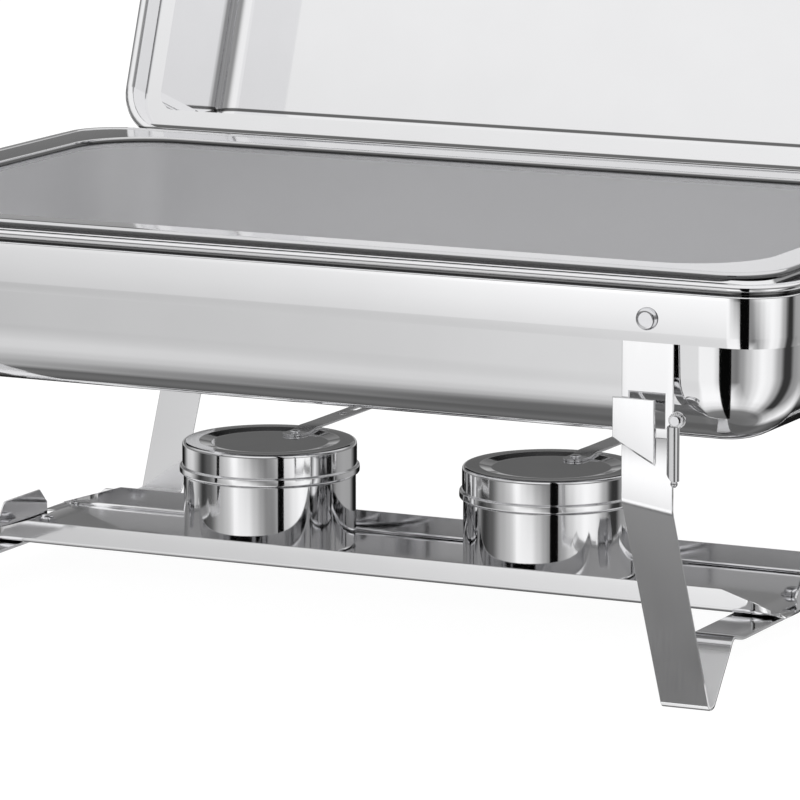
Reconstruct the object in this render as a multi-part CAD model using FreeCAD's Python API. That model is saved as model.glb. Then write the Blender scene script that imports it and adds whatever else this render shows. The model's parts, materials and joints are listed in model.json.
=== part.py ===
"""Hinged-lid buffet chafer: deep water pan, food pan, folding stand, two fuel holders.

Units mm, +Z up, X runs along the length, -Y is the serving side.  The lid stands open
at rest.  Everything is drawn about the middle of the pans and moved by FRAME_Y and
FOOT_Z when it is written out, so that z = 0 is the table under the feet.
"""
import os

import FreeCAD
import Part
from FreeCAD import Vector as V

os.makedirs("parts", exist_ok=True)

# ---- food pan (full size, 530 x 325 rim) ----
PAN_X, PAN_Y, PAN_R = 265.0, 162.5, 27.0      # rim half sizes and corner radius
PAN_FLANGE = 23.0                             # rim width to the opening
PAN_DEPTH = 65.0
PAN_T = 0.8
PAN_ROLL = 3.5                                # rolled edge height and width
PAN_BOTTOM_R = 18.0

# ---- rim band and water pan ----
LEDGE_Z = 203.0                               # top of the ledge the food pan rests on
BAND_X, BAND_Y, BAND_R = 277.0, 174.5, 27.0
BAND_T = 1.0
BAND_BOTTOM, BAND_TOP = 173.5, 197.5          # plain face of the band
BEAD_H = 3.0                                  # rolled bead at the top edge
LEDGE_IN_X, LEDGE_IN_Y, LEDGE_IN_R = 247.0, 144.5, 44.0
LEDGE_T = 1.2
LEDGE_LIP = 6.0
WATER_INSET = 4.0                             # band face to water pan wall
WATER_R, WATER_BOTTOM_R = 38.0, 34.0
WATER_Z = 124.0                               # underside of the water pan
WATER_T = 1.0

# ---- stand ----
LEG_X, LEG_W = 210.5, 26.0
LEG_T = 1.5                                   # strip gauge
LEG_Y = BAND_Y - BAND_T                       # outer face of the upper strip
KINK_OUT, KINK_IN = 94.0, 98.0                # bend height at outer and inner edge
SPLAY = 24.0                                  # foot offset along X
LEAN = 8.0                                    # foot offset away from the pan
FOOT_Z, FOOT_TRIM = 3.8, 0.6                  # underside of the feet in the drawing, slight taper of the leg
BAR_Z = 17.0                                  # underside of the crossbar
BAR_T = 2.0
BAR_END_Y, BAR_STEP = 96.0, 2.4               # where the crossbar turns down to the foot, raised end
STOP_Y0, STOP_Y1, STOP_H = -20.0, 31.0, 14.0  # upstand at the crossbar's outer edge

# ---- hook bracket between band and leg ----
BR_W, BR_T = 26.0, 1.5
BR_BOTTOM, BR_TOP = 129.0, 196.4
WIN_X0, WIN_X1, WIN_Z0, WIN_Z1 = -9.5, 8.9, 133.5, 150.0   # window, X from strip centre
HOOK_X0, HOOK_X1, HOOK_TOP = -17.0, 4.0, 146.8
HOOK_LOW_IN, HOOK_LOW_OUT = 128.0, 117.0
HOOK_T = 1.6
RIVET_Z, RIVET_R, RIVET_H = 184.5, 5.4, 2.2

# ---- latch lever on each bracket ----
LATCH_X, LATCH_Z = 15.0, 138.0                # pivot, X from strip centre
LATCH_PIN_R = 1.3
LATCH_RING_R, LATCH_EAR_R = 3.6, 4.0
LATCH_T, LATCH_BAR_T = 1.6, 3.0
LATCH_X0, LATCH_X1 = -4.4, 1.5                # bar sides from the pivot
LATCH_BOTTOM = 109.5
LATCH_KNOB_R = 1.7
LATCH_GAP = 0.25

# ---- fuel shelf ----
TRAY_Y = 8.0                                  # pivots sit a little behind the middle
TRAY_HALF = 50.5
TRAY_T = 1.0
TRAY_Z = BAR_Z + BAR_T
TRAY_FLANGE_H = 11.8
TRAY_FULL_X, TRAY_END_X, TRAY_TONGUE_X = 193.0, 227.0, 219.0
BOLT_X, BOLT_R, BOLT_HEAD_R, BOLT_HEAD_H = 209.5, 2.5, 4.2, 3.2
WASHER_R, WASHER_T = 5.6, 0.6
NUT_R, NUT_H, BOLT_END = 4.8, 4.0, 11.5       # across corners, height, lower end of the bolt

# ---- fuel holders ----
CUP_X, CUP_R = 79.0, 44.0
CUP_T = 0.8
CUP_BASE = TRAY_Z + TRAY_T
CUP_SHOULDER = 57.2                           # top of the plain cup wall
CUP_NECK_TOP = 73.15
CUP_TOP = 74.0
LID_R = 44.6
LID_BEAD_H, LID_BEAD_OUT = 4.2, 1.4           # rolled lower edge of the snuffer lid
DISH_R, DISH_DEPTH, DISH_RAMP = 33.0, 1.2, 3.0
HANDLE_TURN = 6.0                             # degrees the snuffer handles are turned
HANDLE_W, HANDLE_T, HANDLE_START, HANDLE_END = 11.0, 1.2, 17.0, 98.0
HANDLE_RIVET, HANDLE_HOLE = 24.0, 69.0        # distance from the lid's middle

# ---- lid ----
COVER_X, COVER_Y = 260.5, 158.0               # half sizes over the walls
COVER_H, COVER_T = 76.0, 0.9
COVER_BACK_R = 18.0
COVER_CORNER_R = 10.5
COVER_ROLL_Y = COVER_H - COVER_Y              # where the flat top turns into the front roll
FLANGE_Z, FLANGE_T = LEDGE_Z + 10.2, 1.0      # flat flange round the mouth, clear of the food pan
LID_BEAD, LID_BEAD_R = 5.2, 2.3               # rolled edge of the flange, same outline as the band
HINGE_Y, HINGE_Z = 190.0, 186.0
OPEN_DEG = 110.0
HINGE_XS = (-150.0, 150.0)
HINGE_RIVET_Z = LEDGE_Z + 27.0
PIN_R, BARREL_R, RUN = 3.0, 6.5, 0.05
GRIP_ANGLE, GRIP_LEN, GRIP_R, GRIP_OFF = 34.0, 190.0, 5.0, 30.0

# ---- frame ----
FRAME_Y = 108.96                              # moves the origin under the middle of the open part


def rounded_face(hx, hy, r, z):
    """Flat rounded rectangle centred on the Z axis."""
    k = r * (1 - 2 ** -0.5)
    pts = []
    for sx, sy in ((1, -1), (1, 1), (-1, 1), (-1, -1)):
        a, b = V(sx * (hx - r), sy * hy, z), V(sx * hx, sy * (hy - r), z)
        mid = V(sx * (hx - k), sy * (hy - k), z)
        pts.append((a, mid, b) if sx * sy < 0 else (b, mid, a))
    edges = []
    for i, (a, mid, b) in enumerate(pts):
        edges.append(Part.Arc(a, mid, b).toShape())
        edges.append(Part.makeLine(b, pts[(i + 1) % 4][0]))
    return Part.Face(Part.Wire(edges))


def slab(hx, hy, r, z0, z1):
    """Rounded rectangle extruded from z0 to z1."""
    return rounded_face(hx, hy, r, z0).extrude(V(0, 0, z1 - z0))


def ring(hx, hy, r, t, z0, z1):
    """Rounded rectangular ring of wall t."""
    return slab(hx, hy, r, z0, z1).cut(slab(hx - t, hy - t, r - t, z0 - 1, z1 + 1))


def box(x0, x1, y0, y1, z0, z1):
    return Part.makeBox(x1 - x0, y1 - y0, z1 - z0, V(x0, y0, z0))


def rod(r, a, b):
    """Cylinder of radius r between two points."""
    a, b = V(*a), V(*b)
    return Part.makeCylinder(r, (b - a).Length, a, b - a)


def plate_y(pts, y0, y1):
    """Polygon of (x, z) points extruded from y0 to y1."""
    wire = Part.makePolygon([V(x, y0, z) for x, z in pts + pts[:1]])
    return Part.Face(wire).extrude(V(0, y1 - y0, 0))


def plate_x(pts, x0, x1):
    """Polygon of (y, z) points extruded from x0 to x1."""
    wire = Part.makePolygon([V(x0, y, z) for y, z in pts + pts[:1]])
    return Part.Face(wire).extrude(V(x1 - x0, 0, 0))


def hexahedron(low, high):
    """Solid between two four-cornered faces."""
    a, b = [V(*p) for p in low], [V(*p) for p in high]
    quads = [a, b] + [[a[i], a[(i + 1) % 4], b[(i + 1) % 4], b[i]] for i in range(4)]
    faces = []
    for q in quads:
        for tri in ((q[0], q[1], q[2]), (q[0], q[2], q[3])):
            faces.append(Part.Face(Part.makePolygon(list(tri) + [tri[0]])))
    solid = Part.Solid(Part.makeShell(faces))
    return solid if solid.Volume > 0 else solid.reversed()


def fuse(*shapes):
    return shapes[0].multiFuse(list(shapes[1:])).removeSplitter()


def edges_at_z(shape, z):
    return [e for e in shape.Edges
            if abs(e.BoundBox.ZMin - z) < 1e-4 and abs(e.BoundBox.ZMax - z) < 1e-4]


def flip(shape, sx, sy):
    """Mirror a front-right shape to another corner."""
    if sx < 0:
        shape = shape.mirror(V(0, 0, 0), V(1, 0, 0))
    if sy > 0:
        shape = shape.mirror(V(0, 0, 0), V(0, 1, 0))
    return shape


def save(name, *shapes):
    shape = shapes[0].copy() if len(shapes) == 1 else Part.makeCompound(list(shapes))
    shape.translate(V(0, -FRAME_Y, -FOOT_Z))
    shape.exportStep("parts/%s.step" % name)


CORNERS = (("front_right", 1, -1), ("front_left", -1, -1),
           ("back_right", 1, 1), ("back_left", -1, 1))


# ---------------------------------------------------------------- pans
def food_pan():
    bx, by, br = PAN_X - PAN_FLANGE, PAN_Y - PAN_FLANGE, 42.0
    top = LEDGE_Z + PAN_ROLL
    bottom = top - PAN_DEPTH
    body = slab(bx, by, br, bottom, top)
    body = body.makeFillet(PAN_BOTTOM_R, edges_at_z(body, bottom))
    hollow = slab(bx - PAN_T, by - PAN_T, br - PAN_T, bottom + PAN_T, top + 5)
    hollow = hollow.makeFillet(PAN_BOTTOM_R - PAN_T, edges_at_z(hollow, bottom + PAN_T))
    flange = slab(PAN_X - 1, PAN_Y - 1, PAN_R - 1, top - PAN_T, top)
    roll = ring(PAN_X, PAN_Y, PAN_R, PAN_ROLL, LEDGE_Z, top)
    outer = [e for z in (LEDGE_Z, top) for e in edges_at_z(roll, z)
             if e.BoundBox.XMax > PAN_X - 1.5 or e.BoundBox.XMin < 1.5 - PAN_X
             or e.BoundBox.YMax > PAN_Y - 1.5 or e.BoundBox.YMin < 1.5 - PAN_Y]
    roll = roll.makeFillet(1.5, outer)
    return fuse(body, flange, roll).cut(hollow)


def rim_band():
    skirt = ring(BAND_X, BAND_Y, BAND_R, BAND_T, BAND_BOTTOM, BAND_TOP)
    neck = ring(BAND_X - 0.8, BAND_Y - 0.8, BAND_R - 0.8, BAND_T, BAND_TOP - 1, LEDGE_Z - BEAD_H + 1)
    bead = ring(BAND_X + 0.8, BAND_Y + 0.8, BAND_R + 0.8, 3.4, LEDGE_Z - BEAD_H, LEDGE_Z)
    rim = [e for z in (LEDGE_Z - BEAD_H, LEDGE_Z) for e in edges_at_z(bead, z)
           if max(abs(e.BoundBox.XMax), abs(e.BoundBox.XMin)) > BAND_X - 1
           or max(abs(e.BoundBox.YMax), abs(e.BoundBox.YMin)) > BAND_Y - 1]
    bead = bead.makeFillet(1.4, rim)
    ledge = slab(BAND_X - 1, BAND_Y - 1, BAND_R - 1, LEDGE_Z - LEDGE_T, LEDGE_Z)
    ledge = ledge.cut(slab(LEDGE_IN_X, LEDGE_IN_Y, LEDGE_IN_R, LEDGE_Z - 5, LEDGE_Z + 5))
    lip = ring(LEDGE_IN_X + 1, LEDGE_IN_Y + 1, LEDGE_IN_R + 1, 1.0, LEDGE_Z - LEDGE_LIP, LEDGE_Z)
    return fuse(skirt, neck, bead, ledge, lip)


def water_pan():
    hx, hy = BAND_X - WATER_INSET, BAND_Y - WATER_INSET
    top = LEDGE_Z - LEDGE_T
    outer = slab(hx, hy, WATER_R, WATER_Z, top)
    outer = outer.makeFillet(WATER_BOTTOM_R, edges_at_z(outer, WATER_Z))
    t = WATER_T
    inner = slab(hx - t, hy - t, WATER_R - t, WATER_Z + t, top + 5)
    inner = inner.makeFillet(WATER_BOTTOM_R - t, edges_at_z(inner, WATER_Z + t))
    return outer.cut(inner)


# ---------------------------------------------------------------- stand
def bracket():
    """Hook bracket hanging inside the band, front right corner."""
    x0, x1 = LEG_X - BR_W / 2, LEG_X + BR_W / 2
    strip = box(x0, x1, -LEG_Y, -LEG_Y + BR_T, BR_BOTTOM, BR_TOP)
    window = box(LEG_X + WIN_X0, LEG_X + WIN_X1, -LEG_Y - 1, -LEG_Y + 3, WIN_Z0, WIN_Z1)
    pin = rod(LATCH_PIN_R, (LEG_X + LATCH_X, -LEG_Y - 1, LATCH_Z), (LEG_X + LATCH_X, -LEG_Y + 3, LATCH_Z))
    ear = rod(LATCH_EAR_R, (LEG_X + LATCH_X, -LEG_Y, LATCH_Z), (LEG_X + LATCH_X, -LEG_Y + BR_T, LATCH_Z))
    bolt = rod(2.0, (LEG_X, -LEG_Y - 1, RIVET_Z), (LEG_X, -LEG_Y + 3, RIVET_Z))
    return fuse(strip, ear).cut(window).cut(pin).cut(bolt)


def band_rivet():
    """Rivet through band and bracket, domed outside."""
    y = -BAND_Y
    head = rod(RIVET_R, (LEG_X, y, RIVET_Z), (LEG_X, y - RIVET_H, RIVET_Z))
    edge = [e for e in head.Edges if e.BoundBox.YMax < y - RIVET_H + 0.1]
    head = head.makeFillet(RIVET_H - 0.2, edge)
    shank = rod(2.0, (LEG_X, y, RIVET_Z), (LEG_X, -LEG_Y + BR_T + 1.0, RIVET_Z))
    return fuse(head, shank)


def latch():
    """Swinging lever: pivot ring, rounded bar with a bevelled foot, and knob."""
    x = LEG_X + LATCH_X
    y1 = -LEG_Y - LATCH_GAP
    eye = rod(LATCH_RING_R, (x, y1 - LATCH_T, LATCH_Z), (x, y1, LATCH_Z))
    x0, x1, low = x + LATCH_X0, x + LATCH_X1, LATCH_BOTTOM
    bar = plate_y([(x0, low + 3.5), (x0 + 3.0, low), (x1, low), (x1, LATCH_Z - 3.0), (x0, LATCH_Z - 3.0)],
                  y1 - LATCH_BAR_T, y1)
    front = [e for e in bar.Edges if e.BoundBox.YMax < y1 - 0.1 and e.BoundBox.ZMax - e.BoundBox.ZMin > 10]
    bar = bar.makeFillet(2.2, front)
    knob = Part.makeSphere(LATCH_KNOB_R, V(x - 0.4, y1 - LATCH_KNOB_R, low - 1.2))
    hole = rod(LATCH_PIN_R + RUN, (x, y1 - LATCH_T - 1, LATCH_Z), (x, y1 + 1, LATCH_Z))
    return fuse(eye, bar, knob).cut(hole)


def latch_pin():
    x = LEG_X + LATCH_X
    y0 = -LEG_Y - LATCH_GAP - LATCH_T
    shank = rod(LATCH_PIN_R, (x, y0 - 0.2, LATCH_Z), (x, -LEG_Y + BR_T, LATCH_Z))
    head = rod(2.2, (x, y0 - 1.2, LATCH_Z), (x, y0 - 0.2, LATCH_Z))
    return fuse(shank, head)


def leg_front():
    """Upper strip, hook plate, splayed leg and foot for the front right corner."""
    x0, x1 = LEG_X - LEG_W / 2, LEG_X + LEG_W / 2
    y, t = -LEG_Y, LEG_T
    upper = plate_y([(x0, KINK_IN), (x1, KINK_OUT), (x1, BR_BOTTOM - 0.3), (x0, BR_BOTTOM - 0.3)], y, y + t)
    hook = plate_y([(LEG_X + HOOK_X0, HOOK_LOW_IN), (LEG_X + HOOK_X1, HOOK_LOW_OUT),
                    (LEG_X + HOOK_X1, HOOK_TOP), (LEG_X + HOOK_X0, HOOK_TOP)], y - HOOK_T, y)
    foot_y, fx0, fx1 = y - LEAN, x0 + SPLAY + FOOT_TRIM, x1 + SPLAY - 2 * FOOT_TRIM
    z0, zf = FOOT_Z, FOOT_Z + 2.5
    skew = LEAN * (KINK_IN - KINK_OUT) / (KINK_IN - zf)
    lower = hexahedron([(x0, y, KINK_IN), (x1, y, KINK_OUT), (x1, y + t, KINK_OUT), (x0, y + t, KINK_IN)],
                       [(fx0, foot_y, zf), (fx1, foot_y + skew, zf), (fx1, foot_y + skew + t, zf),
                        (fx0, foot_y + t, zf)])
    toe = box(fx0, fx1, foot_y + skew, foot_y + 9.0, z0, zf)
    toe = toe.makeFillet(2.2, [e for e in toe.Edges if e.BoundBox.YMax < foot_y + skew + 1e-4
                               and e.BoundBox.ZMax < z0 + 1e-4])
    yb, step = -BAR_END_Y, BAR_Z + BAR_STEP
    slope = hexahedron([(fx0, foot_y + 8, z0), (fx1, foot_y + 8, z0),
                        (fx1, foot_y + 8, z0 + 2.0), (fx0, foot_y + 8, z0 + 2.0)],
                       [(x0, yb - 5, BAR_Z - 1), (x1, yb - 5, BAR_Z - 1),
                        (x1, yb - 5, BAR_Z - 1 + BAR_T), (x0, yb - 5, BAR_Z - 1 + BAR_T)])
    under = [(yb - 5.2, BAR_Z - 1), (yb - 3.5, BAR_Z + 0.4), (yb, step), (yb + 8, BAR_Z), (yb + 9, BAR_Z)]
    over = [(yb + 9, BAR_Z + BAR_T), (yb + 8, BAR_Z + BAR_T), (yb, step + BAR_T), (yb - 3.0, step + 1.2),
            (yb - 5.2, BAR_Z - 1 + BAR_T)]
    bend = plate_x(under + over, x0, x1)
    return [upper, hook, lower, toe, slope, bend]


def end_frame(sx):
    """One bent-strip frame: two legs joined by the crossbar that carries the shelf."""
    parts = []
    for sy in (-1, 1):
        parts += [flip(s, 1, sy) for s in leg_front()]
    x0, x1 = LEG_X - LEG_W / 2, LEG_X + LEG_W / 2
    parts.append(box(x0, x1, 8.5 - BAR_END_Y, BAR_END_Y - 8.5, BAR_Z, BAR_Z + BAR_T))
    c = 7.5
    top = BAR_Z + BAR_T + STOP_H
    parts.append(plate_x([(STOP_Y0, BAR_Z), (STOP_Y1, BAR_Z), (STOP_Y1, top - c), (STOP_Y1 - c, top),
                          (STOP_Y0 + c, top), (STOP_Y0, top - c)], x1 - LEG_T, x1))
    hole = rod(BOLT_R, (BOLT_X, TRAY_Y, BAR_Z - 2), (BOLT_X, TRAY_Y, BAR_Z + BAR_T + 2))
    return flip(fuse(*parts).cut(hole), sx, -1)


def tray():
    """Fuel shelf: floor with turned-up edges that taper away at the ends."""
    z0, z1, zt = TRAY_Z, TRAY_Z + TRAY_T, TRAY_Z + TRAY_FLANGE_H
    y0, y1 = TRAY_Y - TRAY_HALF, TRAY_Y + TRAY_HALF
    floor = box(-TRAY_END_X, TRAY_END_X, y0, y1, z0, z1)
    for sx in (-1, 1):
        a, b = sorted((sx * TRAY_TONGUE_X, sx * (TRAY_END_X + 1)))
        floor = floor.cut(box(a, b, STOP_Y0 - 6, STOP_Y1 + 6, z0 - 1, z1 + 1))
        floor = floor.cut(rod(BOLT_R, (sx * BOLT_X, TRAY_Y, z0 - 1), (sx * BOLT_X, TRAY_Y, z1 + 1)))
    outline = [(-TRAY_END_X, z0), (TRAY_END_X, z0), (TRAY_END_X, z1), (TRAY_FULL_X, zt),
               (-TRAY_FULL_X, zt), (-TRAY_END_X, z1)]
    front = plate_y(outline, y0, y0 + TRAY_T)
    back = plate_y(outline, y1 - TRAY_T, y1)
    return fuse(floor, front, back)


def tray_bolt(sx):
    x, y, z = sx * BOLT_X, TRAY_Y, TRAY_Z + TRAY_T + WASHER_T
    head = Part.makeCylinder(BOLT_HEAD_R, BOLT_HEAD_H, V(x, y, z))
    head = head.makeFillet(BOLT_HEAD_H - 0.6, edges_at_z(head, z + BOLT_HEAD_H))
    return fuse(head, Part.makeCylinder(BOLT_R, z - BOLT_END + 1, V(x, y, BOLT_END)))


def tray_washer(sx):
    z = TRAY_Z + TRAY_T
    return Part.makeCylinder(WASHER_R, WASHER_T, V(sx * BOLT_X, TRAY_Y, z)).cut(
        Part.makeCylinder(BOLT_R, 4.0, V(sx * BOLT_X, TRAY_Y, z - 1)))


def tray_nut(sx):
    pts = [V(sx * BOLT_X + NUT_R * c, TRAY_Y + NUT_R * s, BAR_Z - NUT_H) for c, s in
           ((1, 0), (0.5, 0.866), (-0.5, 0.866), (-1, 0), (-0.5, -0.866), (0.5, -0.866), (1, 0))]
    nut = Part.Face(Part.makePolygon(pts)).extrude(V(0, 0, NUT_H))
    return nut.cut(rod(BOLT_R, (sx * BOLT_X, TRAY_Y, 0), (sx * BOLT_X, TRAY_Y, BAR_Z + 1)))


# ---------------------------------------------------------------- fuel holders
def revolve(pts, x):
    """Closed (radius, z) outline turned about a vertical axis through (x, TRAY_Y)."""
    wire = Part.makePolygon([V(r, 0, z) for r, z in pts + pts[:1]])
    solid = Part.Face(wire).revolve(V(0, 0, 0), V(0, 0, 1), 360)
    solid.translate(V(x, TRAY_Y, 0))
    return solid


def fuel_cup(sx):
    r, t, z0, top = CUP_R, CUP_T, CUP_BASE, CUP_SHOULDER
    neck = r - 1.1
    pts = [(0, z0 + 1.0), (r - 6.0, z0 + 1.0), (r - 4.6, z0), (r - 2.0, z0), (r - 0.6, z0 + 0.8),
           (r, z0 + 2.2), (r, top - 1.2), (r - 0.4, top - 0.3), (neck, top), (neck, CUP_NECK_TOP),
           (neck - t, CUP_NECK_TOP), (neck - t, top - 0.8), (r - t, top - 1.8),
           (r - t, z0 + 2.4), (r - 2.0, z0 + 1.8), (0, z0 + 1.8)]
    return revolve(pts, sx * CUP_X)


def dish(drop):
    """Points of the shallow dish in the snuffer lid, from the middle outwards, lowered by drop."""
    pts = [(0, CUP_TOP - DISH_DEPTH - drop)]
    for share, rise in ((-1.0, 0.0), (-0.5, 0.16), (0.0, 0.5), (0.5, 0.84), (1.0, 1.0)):
        pts.append((DISH_R + share * DISH_RAMP, CUP_TOP - DISH_DEPTH * (1.0 - rise) - drop))
    return pts


def snuffer_lid(sx):
    r, t, top = LID_R, CUP_T, CUP_TOP
    low, h, out = CUP_SHOULDER + 0.4, LID_BEAD_H, LID_BEAD_OUT
    pts = dish(0.0) + [(r - 1.6, top), (r - 0.5, top - 0.5), (r, top - 1.6), (r, low + h + 0.2),
                       (r + 0.7 * out, low + h - 0.4), (r + out, low + 0.7 * h), (r + out, low + 0.3 * h),
                       (r + 0.7 * out, low + 0.4), (r + 0.1, low), (r - t, low), (r - t, top - t - 0.8),
                       (r - t - 0.8, top - t)] + dish(t)[::-1]
    hole = rod(1.5, (sx * CUP_X, TRAY_Y + HANDLE_RIVET, 60), (sx * CUP_X, TRAY_Y + HANDLE_RIVET, 90))
    hole.rotate(V(sx * CUP_X, TRAY_Y, 0), V(0, 0, 1), -HANDLE_TURN)
    return revolve(pts, sx * CUP_X).cut(hole)


def snuffer_handle(sx):
    """Flat strip handle: riveted in the dish, straight back over the rim, with a hole and a slot."""
    x, y, w = sx * CUP_X, TRAY_Y, HANDLE_W / 2
    bed = CUP_TOP - DISH_DEPTH
    pts = [(HANDLE_START, bed), (DISH_R - 3.5, bed), (DISH_R + 3.5, CUP_TOP + 0.3),
           (LID_R + 2.0, CUP_TOP + 0.6), (HANDLE_END, CUP_TOP + 3.0)]
    up = [(a, b + HANDLE_T) for a, b in pts]
    strip = plate_x([(y + a, b) for a, b in pts + up[::-1]], x - w, x + w)
    ends = [e for e in strip.Edges if e.BoundBox.XMax - e.BoundBox.XMin < 0.01
            and e.BoundBox.YMax - e.BoundBox.YMin < 0.01 and e.BoundBox.ZMax - e.BoundBox.ZMin < 1.3]
    strip = strip.makeFillet(w - 0.3, ends)
    cuts = [rod(2.6, (x, y + HANDLE_HOLE, CUP_TOP - 5), (x, y + HANDLE_HOLE, CUP_TOP + 20))]
    cuts += [rod(2.0, (x, y + a, CUP_TOP - 5), (x, y + a, CUP_TOP + 20)) for a in (80.0, 88.0)]
    cuts.append(box(x - 2.0, x + 2.0, y + 80, y + 88, CUP_TOP - 5, CUP_TOP + 20))
    cuts.append(rod(1.5, (x, y + HANDLE_RIVET, bed - 2), (x, y + HANDLE_RIVET, bed + 4)))
    strip = strip.cut(fuse(*cuts[:4])).cut(cuts[4])
    strip.rotate(V(x, y, 0), V(0, 0, 1), -HANDLE_TURN)
    return strip


def snuffer_rivet(sx):
    bed = CUP_TOP - DISH_DEPTH
    x, y, z = sx * CUP_X, TRAY_Y + HANDLE_RIVET, bed + HANDLE_T
    head = Part.makeCylinder(2.8, 1.2, V(x, y, z))
    head = head.makeFillet(1.0, edges_at_z(head, z + 1.2))
    shank = Part.makeCylinder(1.5, HANDLE_T + CUP_T + 0.7 + 0.2, V(x, y, bed - CUP_T - 0.7))
    rivet = fuse(head, shank)
    rivet.rotate(V(sx * CUP_X, TRAY_Y, 0), V(0, 0, 1), -HANDLE_TURN)
    return rivet


# ---------------------------------------------------------------- lid (drawn shut, then opened)
def opened(shape):
    shape.rotate(V(0, HINGE_Y, HINGE_Z), V(1, 0, 0), -OPEN_DEG)
    return shape


def cover_solid(inset):
    """Closed-position lid block: upright back, flat top, front rolled down to the lip."""
    z = FLANGE_Z
    y_back, h = COVER_Y - inset, COVER_H - inset
    low = z - (5.0 if inset else 0.0)
    rb = COVER_BACK_R - inset
    k = rb * (1 - 2 ** -0.5)
    cy, ry = COVER_ROLL_Y, h
    s = 2 ** -0.5
    x0 = -COVER_X + inset
    a, b = V(x0, y_back, low), V(x0, y_back, z + h - rb)
    c, d = V(x0, y_back - k, z + h - k), V(x0, y_back - rb, z + h)
    e = V(x0, cy, z + h)
    f, g = V(x0, cy - ry * s, z + ry * s), V(x0, cy - ry, z)
    m = V(x0, cy - ry, low)
    edges = [Part.makeLine(a, b), Part.Arc(b, c, d).toShape(), Part.makeLine(d, e),
             Part.Arc(e, f, g).toShape()]
    if inset:
        edges.append(Part.makeLine(g, m))
    edges.append(Part.makeLine(m if inset else g, a))
    solid = Part.Face(Part.Wire(edges)).extrude(V(2 * (COVER_X - inset), 0, 0))
    side = [q for q in solid.Edges if q.BoundBox.XMax - q.BoundBox.XMin < 0.01
            and q.BoundBox.ZMax > z + 5]
    return solid.makeFillet(COVER_CORNER_R - inset, side)


def lid_shell():
    shell = cover_solid(0.0).cut(cover_solid(COVER_T))
    for x in HINGE_XS:
        for dx in (-9.0, 9.0):
            at = x + dx
            shell = shell.cut(rod(2.0, (at, COVER_Y - 3, HINGE_RIVET_Z), (at, COVER_Y + 3, HINGE_RIVET_Z)))
    return opened(shell)


def lid_rim():
    """Flat flange round the mouth of the lid with a rolled edge that rests on the band."""
    z0, z1 = LEDGE_Z + 0.05, LEDGE_Z + 0.05 + LID_BEAD
    bead = ring(BAND_X, BAND_Y, BAND_R, LID_BEAD, z0, z1)
    bead = bead.makeFillet(LID_BEAD_R, edges_at_z(bead, z0) + edges_at_z(bead, z1))
    inset = LID_BEAD - 1.5
    collar = ring(BAND_X - inset, BAND_Y - inset, BAND_R - inset, 1.0, z1 - 1.0, FLANGE_Z + FLANGE_T)
    flange = slab(BAND_X - inset, BAND_Y - inset, BAND_R - inset, FLANGE_Z, FLANGE_Z + FLANGE_T)
    return opened(fuse(bead, collar, flange.cut(cover_solid(0.0))))


def grip_frame():
    """Middle point and outward direction for the lid grip, lid shut."""
    from math import cos, radians, sin
    a = radians(GRIP_ANGLE)
    return (COVER_ROLL_Y - COVER_H * cos(a), FLANGE_Z + COVER_H * sin(a)), (-cos(a), sin(a))


def lid_grip():
    (y, z), (uy, uz) = grip_frame()
    y, z = y + uy * GRIP_OFF, z + uz * GRIP_OFF
    h = GRIP_LEN / 2
    bar = rod(GRIP_R, (-h, y, z), (h, y, z))
    return opened(bar.makeFillet(2.5, [e for e in bar.Edges if abs(abs(e.CenterOfMass.x) - h) < 0.01]))


def grip_post(sx):
    (y, z), (uy, uz) = grip_frame()
    x = sx * (GRIP_LEN / 2 - 18.0)
    far = GRIP_OFF - GRIP_R + 0.4
    post = rod(3.6, (x, y + uy * 0.4, z + uz * 0.4), (x, y + uy * far, z + uz * far))
    foot = rod(8.0, (x, y - uy * 0.9, z - uz * 0.9), (x, y + uy * 2.4, z + uz * 2.4))
    out = fuse(post, foot).cut(cover_solid(0.0))
    y, z = y + uy * GRIP_OFF, z + uz * GRIP_OFF
    return opened(out.cut(rod(GRIP_R, (-200, y, z), (200, y, z))))


def hinge_arm(x):
    """Lid half of a hinge: pad on the back wall, web over the flange, barrel and stop tail."""
    y, z = HINGE_Y, HINGE_Z
    low, high = LEDGE_Z + 14.0, LEDGE_Z + 38.0
    pad = box(x - 14, x + 14, COVER_Y, COVER_Y + 2, low, high)
    for dx in (-9, 9):
        pad = pad.cut(rod(2.0, (x + dx, COVER_Y - 1, HINGE_RIVET_Z), (x + dx, COVER_Y + 4, HINGE_RIVET_Z)))
    web = plate_x([(COVER_Y + 1, low), (COVER_Y + 1, high - 2), (y - 6, z + 33), (y + 5.5, z + 4),
                   (y - 0.5, z - 5), (y - 5.7, z), (y - 9, z + 20), (y - 13.5, low)], x - 4, x + 4)
    barrel = rod(BARREL_R, (x - 8, y, z), (x + 8, y, z))
    tail = box(x - 8, x + 8, y, y + 14, z - 3, z + 3)
    hole = rod(PIN_R + RUN, (x - 20, y, z), (x + 20, y, z))
    return opened(fuse(pad, web, barrel, tail).cut(hole))


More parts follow.
